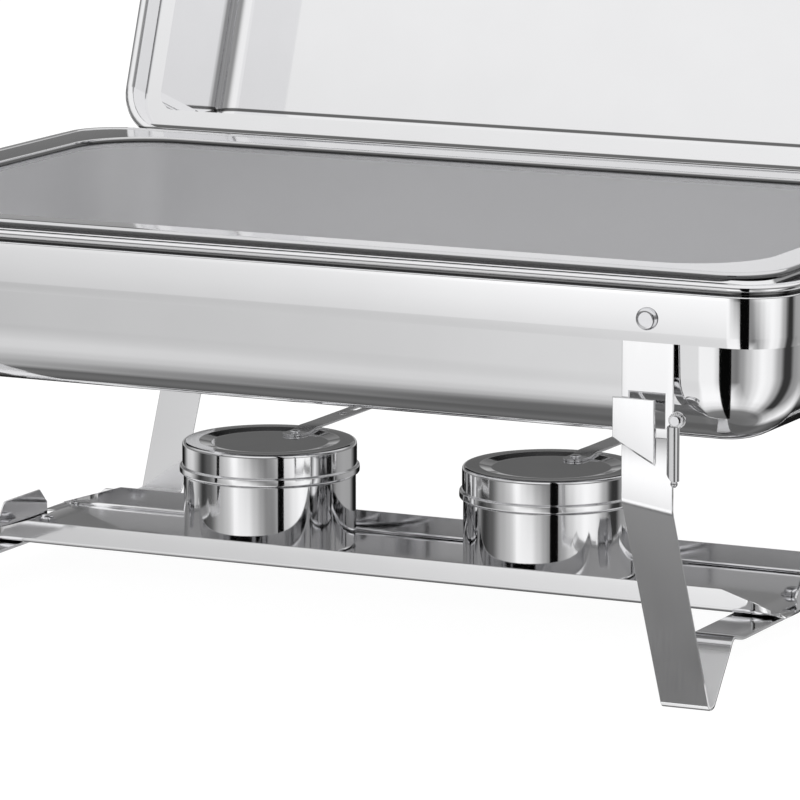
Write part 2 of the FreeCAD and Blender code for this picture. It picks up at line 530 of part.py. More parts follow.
def hinge_bracket(x):
    """Band half of a hinge: base plate, two ears and the stop bar the tail rests on."""
    y0 = BAND_Y
    base = box(x - 20, x + 20, y0, y0 + 2, BAND_BOTTOM + 1, BAND_TOP - 1)
    ears = []
    for a in (x - 11.5, x + 8.5):
        ear = plate_x([(y0 + 1, BAND_BOTTOM + 1), (y0 + 1, BAND_TOP - 1), (HINGE_Y - 5, HINGE_Z + 7),
                       (HINGE_Y + 5, HINGE_Z + 6), (HINGE_Y + 7, HINGE_Z - 3),
                       (HINGE_Y - 4, HINGE_Z - 14)], a, a + 3)
        ears.append(ear)
    stop = opened(box(x - 11, x + 11, HINGE_Y + 8.5, HINGE_Y + 14, HINGE_Z - 8.5, HINGE_Z - 3.02))
    hole = rod(PIN_R, (x - 20, HINGE_Y, HINGE_Z), (x + 20, HINGE_Y, HINGE_Z))
    zs = BAND_BOTTOM + 12
    screws = [rod(2.0, (x + dx, y0 - 3, zs), (x + dx, y0 + 4, zs)) for dx in (-16, 16)]
    out = fuse(base, stop, *ears).cut(hole)
    return out.cut(screws[0]).cut(screws[1])


def hinge_pin(x):
    pin = rod(PIN_R, (x - 12.5, HINGE_Y, HINGE_Z), (x + 12.5, HINGE_Y, HINGE_Z))
    ends = ((-13.5, -11.5), (11.5, 13.5))
    heads = [rod(4.6, (x + a, HINGE_Y, HINGE_Z), (x + b, HINGE_Y, HINGE_Z)) for a, b in ends]
    return fuse(pin, *heads)


def band_screws(x):
    """Two rivets holding a hinge bracket to the band."""
    out = []
    for dx in (-16, 16):
        head = rod(3.4, (x + dx, BAND_Y + 2, BAND_BOTTOM + 12), (x + dx, BAND_Y + 3.4, BAND_BOTTOM + 12))
        out.append(fuse(head, rod(2.0, (x + dx, BAND_Y - BAND_T - 0.8, BAND_BOTTOM + 12),
                                  (x + dx, BAND_Y + 2, BAND_BOTTOM + 12))))
    return out


def lid_rivets(x):
    """Two rivets holding a hinge arm to the lid's back wall."""
    out = []
    z = HINGE_RIVET_Z
    for dx in (-9, 9):
        head = rod(3.2, (x + dx, COVER_Y + 2, z), (x + dx, COVER_Y + 3.2, z))
        out.append(opened(fuse(head, rod(2.0, (x + dx, COVER_Y - COVER_T - 0.8, z), (x + dx, COVER_Y + 2, z)))))
    return out


# ---------------------------------------------------------------- holes for rivets, then export
band = rim_band()
for _, sx, sy in CORNERS:
    band = band.cut(flip(rod(2.0, (LEG_X, -BAND_Y - 2, RIVET_Z), (LEG_X, -BAND_Y + 3, RIVET_Z)), sx, sy))
for x in HINGE_XS:
    for dx in (-16, 16):
        band = band.cut(rod(2.0, (x + dx, BAND_Y - 3, BAND_BOTTOM + 12), (x + dx, BAND_Y + 3, BAND_BOTTOM + 12)))

save("rim_band", band)
save("food_pan", food_pan())
save("water_pan", water_pan())
save("band_rivets", *[flip(band_rivet(), sx, sy) for _, sx, sy in CORNERS])
save("latch_pins", *[flip(latch_pin(), sx, sy) for _, sx, sy in CORNERS])
for name, sx, sy in CORNERS:
    save("bracket_" + name, flip(bracket(), sx, sy))
    save("latch_" + name, flip(latch(), sx, sy))
save("tray", tray())
save("tray_bolts", tray_bolt(-1), tray_bolt(1))
save("tray_washers", tray_washer(-1), tray_washer(1))
save("tray_nuts", tray_nut(-1), tray_nut(1))
for side, sx in (("left", -1), ("right", 1)):
    save("end_frame_" + side, end_frame(sx))
    save("fuel_cup_" + side, fuel_cup(sx))
    save("snuffer_lid_" + side, snuffer_lid(sx))
    save("snuffer_handle_" + side, snuffer_handle(sx))
    save("snuffer_rivet_" + side, snuffer_rivet(sx))
    save("hinge_arm_" + side, hinge_arm(HINGE_XS[0] if sx < 0 else HINGE_XS[1]))
    save("hinge_bracket_" + side, hinge_bracket(HINGE_XS[0] if sx < 0 else HINGE_XS[1]))
save("hinge_pins", *[hinge_pin(x) for x in HINGE_XS])
save("hinge_band_rivets", *[r for x in HINGE_XS for r in band_screws(x)])
save("hinge_lid_rivets", *[r for x in HINGE_XS for r in lid_rivets(x)])
save("lid_shell", lid_shell())
save("lid_rim", lid_rim())
save("lid_grip", lid_grip())
save("lid_grip_posts", grip_post(-1), grip_post(1))
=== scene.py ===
"""Roll top chafer: drawn pans, bent-strip stand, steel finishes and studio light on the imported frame."""
import json
import math

import bmesh
import bpy
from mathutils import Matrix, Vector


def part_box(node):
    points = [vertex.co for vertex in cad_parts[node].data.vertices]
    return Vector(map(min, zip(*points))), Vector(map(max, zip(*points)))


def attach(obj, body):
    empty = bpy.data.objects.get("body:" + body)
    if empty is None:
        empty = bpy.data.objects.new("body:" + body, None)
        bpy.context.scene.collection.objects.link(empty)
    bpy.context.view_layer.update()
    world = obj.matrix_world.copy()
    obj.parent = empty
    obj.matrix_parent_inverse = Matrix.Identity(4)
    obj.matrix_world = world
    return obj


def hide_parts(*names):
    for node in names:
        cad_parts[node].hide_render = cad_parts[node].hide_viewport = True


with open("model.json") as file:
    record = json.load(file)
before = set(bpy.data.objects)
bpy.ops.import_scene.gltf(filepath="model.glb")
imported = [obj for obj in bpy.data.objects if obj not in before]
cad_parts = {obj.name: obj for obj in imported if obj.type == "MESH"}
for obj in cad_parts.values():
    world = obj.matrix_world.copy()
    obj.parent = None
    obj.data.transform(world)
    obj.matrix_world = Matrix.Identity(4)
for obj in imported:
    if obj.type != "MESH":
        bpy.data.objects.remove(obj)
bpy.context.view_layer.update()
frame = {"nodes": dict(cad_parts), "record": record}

# ---- the drawing: millimetres from the middle of the pans, z from the ledge the food pan rests on ----
band_low, band_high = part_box("rim_band")
MIDDLE_Y = (band_low[1] + band_high[1]) / 2
LEDGE = band_high[2]

# ---- camera: offset from the middle of the pans (metres), turn (degrees) ----
CAMERA_OFFSET = (1.3409, -2.7540, 0.6470)
CAMERA_TURN = (79.84, 0.0, 25.98)
CAMERA_LENS, SENSOR = 278.6, 36.0

# ---- floor paper and the black flag (metres from the middle of the pans) ----
FLOOR_SIZE, FLOOR_DROP = 30.0, 0.0002
PAPER_GREY, PAPER_GLOW = 0.16, 0.93
CARD_AT, CARD_WIDE = (0.332, -0.46), 0.10
CARD_LOW, CARD_HIGH = -2.0, 0.32
CARD_BLACK = 0.002

# ---- pans ----
PAN_X, PAN_Y, PAN_R = 265.0, 162.5, 27.0          # food pan rim
PAN_TOP, PAN_BOTTOM = 3.5, -61.5
BAND_X, BAND_Y, BAND_R = 277.0, 174.5, 27.0       # rim band face
BAND_LOW, BAND_HIGH = -29.5, -5.5
BARREL = 0.24                                     # how far the face leans in at its lower edge
WATER_X, WATER_Y, WATER_R = 273.0, 170.5, 39.0
WATER_TOP, WATER_BOTTOM, WATER_FILLET = -1.2, -79.0, 34.0
CORNER_STEPS = 14

# ---- stand ----
STRIP_IN, STRIP_OUT, GAUGE = 197.5, 223.5, 1.5
STRIP_Y = -173.5
STAND_TOP = -74.3
BAR_UNDER = -186.0
FOOT = -199.2

# ---- fuel shelf ----
SHELF_Y, SHELF_HALF = 8.0, 50.5
SHELF_Z, SHELF_RISE = -184.0, 11.8
SHELF_FULL, SHELF_END, SHELF_NOTCH = 193.0, 227.0, 219.0
NOTCH_LOW, NOTCH_HIGH = -26.0, 37.0

# ---- fuel holders ----
CUP_X, CUP_R, CUP_BASE, CUP_SHOULDER, CUP_NECK = 79.0, 44.0, -183.0, -145.8, -129.85
LID_R, LID_TOP, LID_LOW = 44.6, -129.0, -145.4
DISH_R, DISH_DEPTH = 33.0, 1.2
SPUN_WALL = 0.8
BEAD_TALL, BEAD_OUT = 4.2, 1.4

# ---- hook plates on the end frames, upstand on the crossbar ----
PLATE_LEFT, PLATE_RIGHT, PLATE_TOP = -17.0, 4.0, -56.2     # across: from the middle of the strip
PLATE_THICK, PLATE_WORN = 1.6, 0.3
STOP_FRONT, STOP_BACK, STOP_TALL, STOP_CUT = -20.0, 31.0, 16.0, 7.5

# ---- finishes, and painted groove shade, that change with height: (low, high, fade) or (dull, bright) ----
WELL_FINISH = (-3.0, 1.0)
FOOT_FINISH = (BAR_UNDER - 2.0, BAR_UNDER + 1.0)
# painted shade under the food pan's rolled edge: base colour darkened between these heights
ROLL_SHADE = (0.0, 1.5, 0.7)
# painted shade in the recess under the bead: base colour darkened between these heights
RECESS_SHADE = (-5.0, -3.7, 0.4)
FACES_UP = (0.1, 0.3)                             # upward part of the surface direction

WORN_EDGE = 0.0003                                # metres, on the nodes kept from the CAD


def place(x, y, z):
    """Drawing millimetres to metres in the row frame."""
    return (x / 1000, MIDDLE_Y + y / 1000, LEDGE + z / 1000)


# ---------------------------------------------------------------- node helpers
def new_material(name):
    material = bpy.data.materials.new(name)
    material.use_nodes = True
    tree = material.node_tree
    return material, tree, tree.nodes["Principled BSDF"]


def add(tree, kind, **values):
    """A node with its properties set; names that are inputs go to their sockets."""
    node = tree.nodes.new("ShaderNode" + kind)
    for key, value in values.items():
        if hasattr(node, key):
            setattr(node, key, value)
        else:
            node.inputs[key.replace("_", " ")].default_value = value
    return node


def math_node(tree, operation, *values):
    node = tree.nodes.new("ShaderNodeMath")
    node.operation = operation
    for socket, value in zip(node.inputs, values):
        if isinstance(value, (int, float)):
            socket.default_value = value
        else:
            tree.links.new(value, socket)
    return node.outputs[0]


def ramp(tree, factor, stops, interpolation="EASE"):
    node = tree.nodes.new("ShaderNodeValToRGB")
    node.color_ramp.interpolation = interpolation
    elements = node.color_ramp.elements
    while len(elements) < len(stops):
        elements.new(0.5)
    for element, (spot, grey) in zip(elements, stops):
        element.position = spot
        element.color = (grey, grey, grey, 1.0)
    tree.links.new(factor, node.inputs[0])
    return node.outputs[0]


def opposite(tree, factor):
    return math_node(tree, "SUBTRACT", 1.0, factor)


def blend(tree, factor, a, b):
    """a where factor is 0, b where it is 1."""
    first = math_node(tree, "MULTIPLY", a, opposite(tree, factor))
    return math_node(tree, "ADD", first, math_node(tree, "MULTIPLY", b, factor))


def span(tree, value, low, high):
    """0 below low, 1 above high."""
    node = tree.nodes.new("ShaderNodeMapRange")
    tree.links.new(value, node.inputs["Value"])
    node.inputs["From Min"].default_value, node.inputs["From Max"].default_value = low, high
    return node.outputs[0]


# ---------------------------------------------------------------- finishes
def steel(name, colour, roughness, grain, wave, smudge, lines=(6.0, 6.0, 900.0)):
    """Stainless sheet: grain is the brushing depth, wave the ripple of drawn sheet, both in metres."""
    material, tree, bsdf = new_material(name)
    bsdf.inputs["Metallic"].default_value = 1.0
    where = add(tree, "TexCoord").outputs["Object"]
    stretch = add(tree, "Mapping", Scale=lines)
    tree.links.new(where, stretch.inputs["Vector"])
    fine = add(tree, "TexNoise", Scale=1.0, Detail=4.0, Roughness=0.6)
    tree.links.new(stretch.outputs[0], fine.inputs["Vector"])
    broad = add(tree, "TexNoise", Scale=9.0, Detail=1.0)
    tree.links.new(where, broad.inputs["Vector"])
    cloud = add(tree, "TexNoise", Scale=35.0, Detail=3.0)
    tree.links.new(where, cloud.inputs["Vector"])
    tint = add(tree, "MixRGB", Color1=(*[c * 0.96 for c in colour], 1.0), Color2=(*colour, 1.0))
    tree.links.new(cloud.outputs[0], tint.inputs["Fac"])
    tree.links.new(tint.outputs[0], bsdf.inputs["Base Color"])
    spread = math_node(tree, "MULTIPLY", cloud.outputs[0], smudge)
    streak = math_node(tree, "MULTIPLY", fine.outputs[0], smudge)
    rough = math_node(tree, "ADD", math_node(tree, "ADD", spread, streak), roughness - smudge)
    tree.links.new(rough, bsdf.inputs["Roughness"])
    ripple = add(tree, "Bump", Strength=1.0, Distance=wave)
    tree.links.new(broad.outputs[0], ripple.inputs["Height"])
    brush = add(tree, "Bump", Strength=1.0, Distance=grain)
    tree.links.new(fine.outputs[0], brush.inputs["Height"])
    tree.links.new(ripple.outputs[0], brush.inputs["Normal"])
    tree.links.new(brush.outputs[0], bsdf.inputs["Normal"])
    return material


def height_above_ledge(tree):
    """Height of the shaded point over the ledge, in millimetres."""
    axes = add(tree, "SeparateXYZ")
    tree.links.new(add(tree, "TexCoord").outputs["Object"], axes.inputs[0])
    return math_node(tree, "MULTIPLY", math_node(tree, "SUBTRACT", axes.outputs["Z"], LEDGE), 1000.0)


def facing_up(tree):
    """Upward part of the surface direction: 0 on an upright face, 1 on a level one."""
    axes = add(tree, "SeparateXYZ")
    tree.links.new(add(tree, "NewGeometry").outputs["Normal"], axes.inputs[0])
    return axes.outputs["Z"]


def dull(material, where, metal, roughness):
    """Dull drawn steel where the factor is 1: part of its light is scattered."""
    tree = material.node_tree
    bsdf = tree.nodes["Principled BSDF"]
    tree.links.new(blend(tree, where, 1.0, metal), bsdf.inputs["Metallic"])
    before = bsdf.inputs["Roughness"].links[0].from_socket
    tree.links.new(blend(tree, where, before, roughness), bsdf.inputs["Roughness"])


def paint_groove_shade(material, zone, grey):
    """Painted shade in a groove: base colour darkened between two heights over the ledge, fading past them.
    """
    low, high, fade = zone
    tree = material.node_tree
    height = height_above_ledge(tree)
    rising = span(tree, height, low - fade, low)
    inside = math_node(tree, "MULTIPLY", rising, opposite(tree, span(tree, height, high, high + fade)))
    # painted shade: the base colour is mixed towards dark grey inside the band of heights
    bsdf = tree.nodes["Principled BSDF"]
    before = bsdf.inputs["Base Color"].links[0].from_socket
    darker = add(tree, "MixRGB", Color2=(grey, grey, grey, 1.0))
    tree.links.new(inside, darker.inputs["Fac"])
    tree.links.new(before, darker.inputs["Color1"])
    tree.links.new(darker.outputs[0], bsdf.inputs["Base Color"])


def polished_steel():
    """Bright polished sheet, with painted shade in the recess under the bead."""
    material = steel("polished_steel", (0.90, 0.90, 0.91), 0.06, 0.6e-6, 0.8e-5, 0.02)
    # painted shade: base colour darkened in the recess under the bead
    paint_groove_shade(material, RECESS_SHADE, 0.15)
    return material


def pan_steel():
    """Food pan: dull in the well, bright on the rim, with painted shade under its rolled edge."""
    material = steel("pan_steel", (0.74, 0.74, 0.75), 0.08, 1.0e-6, 0.8e-5, 0.03)
    tree = material.node_tree
    dull(material, opposite(tree, span(tree, height_above_ledge(tree), *WELL_FINISH)), 0.62, 0.30)
    # painted shade: base colour darkened under the rolled edge, where it sits on the ledge
    paint_groove_shade(material, ROLL_SHADE, 0.10)
    return material


def stand_steel():
    """Polished strip, brushed upwards, with dull upper faces on the feet."""
    material = steel("stand_steel", (0.95, 0.95, 0.96), 0.10, 1.5e-6, 0.6e-5, 0.03, (700.0, 700.0, 6.0))
    tree = material.node_tree
    low = opposite(tree, span(tree, height_above_ledge(tree), *FOOT_FINISH))
    dull(material, math_node(tree, "MULTIPLY", low, span(tree, facing_up(tree), *FACES_UP)), 0.15, 0.35)
    return material


def fitting_steel():
    return steel("fitting_steel", (0.66, 0.66, 0.67), 0.14, 2.0e-6, 0.6e-5, 0.04, (500.0, 500.0, 8.0))


def fastener_steel():
    return steel("fastener_steel", (0.78, 0.78, 0.80), 0.12, 1.0e-6, 0.4e-5, 0.03)


FINISHES = {make.__name__: make()
            for make in (polished_steel, pan_steel, stand_steel, fitting_steel, fastener_steel)}

slots = {}
for entry in frame["record"]["subparts"]:
    slots[entry["node"]] = entry["material_slot"]


def round_edges(piece, width):
    """Worked edges on a node kept from the CAD: joins its faces, then rounds what is sharp."""
    weld = piece.modifiers.new("join", "WELD")
    weld.merge_threshold = 1e-5
    edge = piece.modifiers.new("round", "BEVEL")
    edge.width, edge.segments = width, 3
    edge.limit_method, edge.angle_limit = "ANGLE", math.radians(35.0)
    edge.use_clamp_overlap = True
    normal = piece.modifiers.new("normals", "WEIGHTED_NORMAL")
    normal.weight = 80


for name, piece in frame["nodes"].items():
    piece.data.materials.clear()
    piece.data.materials.append(FINISHES[slots.get(name, "polished_steel")])


# ---------------------------------------------------------------- mesh helpers
def fillet(points, closed=False, steps=5):
    """Rounds a line of (a, b, radius, corner) points into (a, b, corner); corner follows the inset a."""
    out = []
    count = len(points)
    for i, (a, b, radius, corner) in enumerate(points):
        if radius <= 0 or (not closed and i in (0, count - 1)):
            out.append((a, b, corner))
            continue
        before, after = points[i - 1], points[(i + 1) % count]
        into = (before[0] - a, before[1] - b)
        away = (after[0] - a, after[1] - b)
        la, lb = math.hypot(*into), math.hypot(*away)
        into, away = (into[0] / la, into[1] / la), (away[0] / lb, away[1] / lb)
        half = math.acos(max(-1.0, min(1.0, into[0] * away[0] + into[1] * away[1]))) / 2
        reach = min(radius / math.tan(half), 0.49 * la, 0.49 * lb)
        radius = reach * math.tan(half)
        start = (a + into[0] * reach, b + into[1] * reach)
        end = (a + away[0] * reach, b + away[1] * reach)
        mid = (into[0] + away[0], into[1] + away[1])
        lm = math.hypot(*mid) or 1.0
        far = radius / math.sin(half)
        hub = (a + mid[0] / lm * far, b + mid[1] / lm * far)
        first = math.atan2(start[1] - hub[1], start[0] - hub[0])
        last = math.atan2(end[1] - hub[1], end[0] - hub[0])
        turn = (last - first + math.pi) % (2 * math.pi) - math.pi
        for k in range(steps + 1):
            angle = first + turn * k / steps
            pa, pb = hub[0] + radius * math.cos(angle), hub[1] + radius * math.sin(angle)
            out.append((pa, pb, corner - (pa - a)))
    return out


def rectangle(hx, hy, r, z):
    """One ring of a rounded rectangle about the middle of the pans."""
    r = max(r, 0.5)
    ring = []
    for sx, sy, base in ((1, -1, -90), (1, 1, 0), (-1, 1, 90), (-1, -1, 180)):
        for k in range(CORNER_STEPS + 1):
            angle = math.radians(base + 90 * k / CORNER_STEPS)
            ring.append(place(sx * (hx - r) + r * math.cos(angle), sy * (hy - r) + r * math.sin(angle), z))
    return ring


def grow(outline, by):
    """A closed outline with each side moved outwards by that much (drawn anticlockwise)."""
    out = []
    count = len(outline)
    for i, (a, b) in enumerate(outline):
        (pa, pb), (na, nb) = outline[i - 1], outline[(i + 1) % count]
        la, lb = math.hypot(a - pa, b - pb), math.hypot(na - a, nb - b)
        n1, n2 = ((b - pb) / la, (pa - a) / la), ((nb - b) / lb, (a - na) / lb)
        scale = by / max(0.3, 1 + n1[0] * n2[0] + n1[1] * n2[1])
        out.append((a + (n1[0] + n2[0]) * scale, b + (n1[1] + n2[1]) * scale))
    return out


class Sheet:
    """A mesh under construction, made of closed shells."""

    def __init__(self):
        self.points, self.faces = [], []

    def loft(self, rings, closed=False):
        start, size, rows = len(self.points), len(rings[0]), len(rings)
        for ring in rings:
            self.points += ring
        for i in range(rows if closed else rows - 1):
            a, b = start + i * size, start + (i + 1) % rows * size
            for k in range(size):
                j = (k + 1) % size
                self.faces.append((a + k, a + j, b + j, b + k))
        if not closed:
            self.faces.append(tuple(start + k for k in range(size)))
            self.faces.append(tuple(start + (rows - 1) * size + k for k in range(size)))

    def prism(self, outline, low, high, at, worn=0.3):
        """Outline from low to high with worn edges; at(a, b, c) gives the drawing point."""
        small = grow(outline, -worn)
        levels = ((small, low), (outline, low + worn), (outline, high - worn), (small, high))
        self.loft([[place(*at(a, b, c)) for a, b in shape] for shape, c in levels])

    def turned(self, profile, x, y, steps=96):
        """A profile of (radius, z) turned about an upright axis."""
        angles = [2 * math.pi * k / steps for k in range(steps)]
        rings = []
        for radius, z in profile:
            r = max(radius, 0.2)
            rings.append([place(x + r * math.cos(turn), y + r * math.sin(turn), z) for turn in angles])
        self.loft(rings)

    def piece(self, name, node, body):
        mesh = bpy.data.meshes.new(name)
        mesh.from_pydata(self.points, [], self.faces)
        work = bmesh.new()
        work.from_mesh(mesh)
        bmesh.ops.recalc_face_normals(work, faces=work.faces)
        work.to_mesh(mesh)
        work.free()
        mesh.polygons.foreach_set("use_smooth", [True] * len(mesh.polygons))
        item = bpy.data.objects.new(name, mesh)
        bpy.context.scene.collection.objects.link(item)
        finish = slots[node]
        mesh.materials.append(FINISHES[finish])
        normal = item.modifiers.new("normals", "WEIGHTED_NORMAL")
        normal.weight = 60
        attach(item, body)
        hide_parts(node)
        return item


def ringed(rows, hx, hy, closed):
    """Rings of a drawn sheet from a profile of (inset, z, fillet radius, corner radius)."""
    return [rectangle(hx - a, hy - a, corner, z) for a, z, corner in fillet(rows, closed)]


# ---------------------------------------------------------------- pans
def food_pan():
    top, low, t = PAN_TOP, PAN_BOTTOM, 0.8
    rows = [(90.0, low + t, 0, 8.0), (23.8, low + t, 17.0, 41.2), (23.8, top - 0.9, 2.6, 41.2),
            (5.2, top - 0.5, 0.6, PAN_R - 5.2), (4.0, top, 1.0, PAN_R - 4.0), (0.0, top, 1.7, PAN_R),
            (0.0, 0.05, 1.6, PAN_R), (3.4, 0.05, 0.3, PAN_R - 3.4), (3.4, top - 1.6, 0.3, PAN_R - 3.4),
            (23.0, top - 1.8, 1.8, 42.0), (23.0, low, 18.0, 42.0), (90.0, low, 0, 8.0)]
    sheet = Sheet()
    sheet.loft(ringed(rows, PAN_X, PAN_Y, False))
    sheet.piece("food_pan_sheet", "food_pan", "food_pan")


def rim_band():
    r = BAND_R
    tall = BAND_HIGH - BAND_LOW
    face = [(BARREL * s * s, BAND_HIGH - tall * s, 0, r - BARREL * s * s)
            for s in (1.0, 0.8, 0.6, 0.4, 0.2, 0.1)]
    rows = face + [(0.0, BAND_HIGH, 0.8, r),
            (2.8, BAND_HIGH + 0.6, 0.4, r - 2.8), (2.8, -3.6, 0.3, r - 2.8), (-0.8, -3.1, 1.4, r + 0.8),
            (-0.8, 0.0, 1.5, r + 0.8), (2.8, 0.0, 1.2, r - 2.8), (3.8, -1.6, 0.5, r - 3.8),
            (13.2, -1.6, 0.3, r - 13.2), (14.2, -0.02, 0.3, r - 14.2), (30.0, -0.02, 0.6, 44.0),
            (30.0, -6.0, 0.3, 44.0), (29.0, -6.0, 0.3, 45.0), (29.0, -1.2, 0.3, 45.0),
            (14.6, -1.2, 0.1, r - 14.6), (13.4, -2.4, 0.2, r - 13.4), (3.7, -2.4, 0.2, r - 3.7),
            (3.7, BAND_HIGH - 0.2, 0.3, r - 3.7), (1.2, BAND_HIGH - 1.0, 0.3, r - 1.2),
            (1.4, BAND_LOW, 0.4, r - 1.4)]
    sheet = Sheet()
    sheet.loft(ringed(rows, BAND_X, BAND_Y, True), closed=True)
    sheet.piece("rim_band_sheet", "rim_band", "base")


def water_pan():
    low, r, f = WATER_BOTTOM, WATER_R, WATER_FILLET
    rows = [(100.0, low, 0, 5.0), (2.2, low, f, r - 2.2), (0.0, WATER_TOP, 0, r),
            (1.0, WATER_TOP, 0, r - 1), (3.2, low + 1, f - 1, r - 3.2), (101.0, low + 1, 0, 5.0)]
    sheet = Sheet()
    sheet.loft([rectangle(WATER_X - a, WATER_Y - a, c, z) for a, z, c in fillet(rows, False, 16)])
    sheet.piece("water_pan_sheet", "water_pan", "base")


# ---------------------------------------------------------------- stand
def smooth_path(stations, steps=6):
    """Rounds a path of (inner point, outer point, bend reach) stations; returns pairs of points."""
    out = []
    for i, (a, b, reach) in enumerate(stations):
        if reach <= 0 or i in (0, len(stations) - 1):
            out.append((a, b))
            continue
        for k in range(steps + 1):
            share = k / steps
            pair = []
            for side in (0, 1):
                here, prev, after = (stations[j][side] for j in (i, i - 1, i + 1))
                back, ahead = math.dist(here, prev), math.dist(here, after)
                p = [h + (q - h) * min(reach / back, 0.49) for h, q in zip(here, prev)]
                n = [h + (q - h) * min(reach / ahead, 0.49) for h, q in zip(here, after)]
                pair.append(tuple((1 - share) ** 2 * u + 2 * share * (1 - share) * v + share ** 2 * w
                                  for u, v, w in zip(p, here, n)))
            out.append(tuple(pair))
    return out


def strip_rings(path, sign):
    """Cross-sections of a strip whose outer face follows the path; sign mirrors it to the other end."""
    rings = []
    for i, (a, b) in enumerate(path):
        prev, after = path[max(i - 1, 0)], path[min(i + 1, len(path) - 1)]
        along = [n - p for n, p in zip(after[0], prev[0])]
        across = [q - p for q, p in zip(b, a)]
        up = (along[1] * across[2] - along[2] * across[1], along[2] * across[0] - along[0] * across[2],
              along[0] * across[1] - along[1] * across[0])
        size = math.hypot(*up)
        up = [-c / size for c in up]
        wide, worn = math.dist(a, b), 0.35
        ring = []
        for s, h in ((worn, 0), (wide - worn, 0), (wide - 0.1, 0.1), (wide, worn), (wide, GAUGE - worn),
                     (wide - 0.1, GAUGE - 0.1), (wide - worn, GAUGE), (worn, GAUGE), (0.1, GAUGE - 0.1),
                     (0, GAUGE - worn), (0, worn), (0.1, 0.1)):
            x, y, z = (p + c * s / wide + u * h for p, c, u in zip(a, across, up))
            ring.append(place(sign * x, y, z))
        rings.append(ring)
    return rings


def end_frame(side, sign):
    x0, x1, y = STRIP_IN, STRIP_OUT, STRIP_Y
    half = [((x0, y, STAND_TOP), (x1, y, STAND_TOP), 0),
            ((x0, y, -105.0), (x1, y, -109.0), 1.6),
            ((x0 + 24.6, y - 8.0, FOOT), (x1 + 22.8, y - 7.7, FOOT), 2.6),
            ((x0 + 24.3, y - 1.5, FOOT), (x1 + 22.5, y - 1.2, FOOT), 4.0),
            ((x0, -101.5, BAR_UNDER - 1.4), (x1, -101.5, BAR_UNDER - 1.4), 1.6),
            ((x0, -98.0, BAR_UNDER + 2.9), (x1, -98.0, BAR_UNDER + 2.9), 2.6),
            ((x0, -87.0, BAR_UNDER), (x1, -87.0, BAR_UNDER), 4.0)]
    stations = half + [tuple((p[0], -p[1], p[2]) for p in s[:2]) + (s[2],) for s in reversed(half)]
    sheet = Sheet()
    sheet.loft(strip_rings(smooth_path(stations), sign))
    # upstand on the crossbar's outer edge
    base, top = BAR_UNDER, BAR_UNDER + STOP_TALL
    stop = [(STOP_FRONT, base), (STOP_BACK, base), (STOP_BACK, top - STOP_CUT), (STOP_BACK - STOP_CUT, top),
            (STOP_FRONT + STOP_CUT, top), (STOP_FRONT, top - STOP_CUT)]
    sheet.prism(stop, x1 - GAUGE, x1, lambda a, b, c: (sign * c, a, b))
    # hook plates, front and back: cut off along a slanting line below
    mid = (x0 + x1) / 2
    left, right, top = mid + PLATE_LEFT, mid + PLATE_RIGHT, PLATE_TOP
    for way in (1, -1):
        face = [(left, -75.0), (x0, -77.2), (x0 + 1, -77.8), (right, -86.0), (right, top), (left, top)]
        foot = [(left, -75.9), (x0, -78.1), (x0 + 1, -78.9), (right, -87.4), (right, top), (left, top)]
        rings = []
        steps = ((foot, 0.0, 0.0), (foot, 0.1, 0.0),
                 (face, PLATE_THICK - PLATE_WORN, 0.0), (face, PLATE_THICK, PLATE_WORN))
        for shape, depth, inset in steps:
            rings.append([place(sign * a, way * (y - depth), b) for a, b in grow(shape, -inset)])
        sheet.loft(rings)
    sheet.piece("end_frame_%s_strip" % side, "end_frame_" + side, "base")


def shelf():
    """Fuel shelf: one sheet with turned-up edges that taper away at both ends."""
    def section(x, low, high):
        rise = SHELF_RISE if abs(x) <= SHELF_FULL else max(
            1.2, SHELF_RISE + (1.2 - SHELF_RISE) * (abs(x) - SHELF_FULL) / (SHELF_END - SHELF_FULL))
        y0, y1, z = SHELF_Y - SHELF_HALF, SHELF_Y + SHELF_HALF, SHELF_Z
        bend = min(3.0, max(0.2, rise - 1.2))
        line = []
        if low is None:
            line += [(y0 + 0.9, z + rise, 0.1, 0), (y0, z + rise, 0.3, 0), (y0, z, bend, 0)]
        else:
            line.append((low, z, 0, 0))
        if high is None:
            line += [(y1, z, bend, 0), (y1, z + rise, 0.3, 0), (y1 - 0.9, z + rise, 0.1, 0),
                     (y1 - 0.9, z + 0.9, max(bend - 0.9, 0.1), 0)]
        else:
            line += [(high, z, 0, 0), (high, z + 0.9, 0, 0)]
        line.append((y0 + 0.9, z + 0.9, max(bend - 0.9, 0.1), 0) if low is None else (low, z + 0.9, 0, 0))
        return [place(x, a, b) for a, b, _ in fillet(line, True, 4)]
    sheet = Sheet()
    spots = [-SHELF_NOTCH, -(SHELF_FULL + SHELF_NOTCH) / 2, -SHELF_FULL, 0, SHELF_FULL,
             (SHELF_FULL + SHELF_NOTCH) / 2, SHELF_NOTCH]
    sheet.loft([section(x, None, None) for x in spots])
    for sign in (-1, 1):
        ends = (sign * SHELF_NOTCH, sign * SHELF_END)
        sheet.loft([section(x, None, NOTCH_LOW) for x in ends])
        sheet.loft([section(x, NOTCH_HIGH, None) for x in ends])
    sheet.piece("fuel_shelf_sheet", "tray", "base")


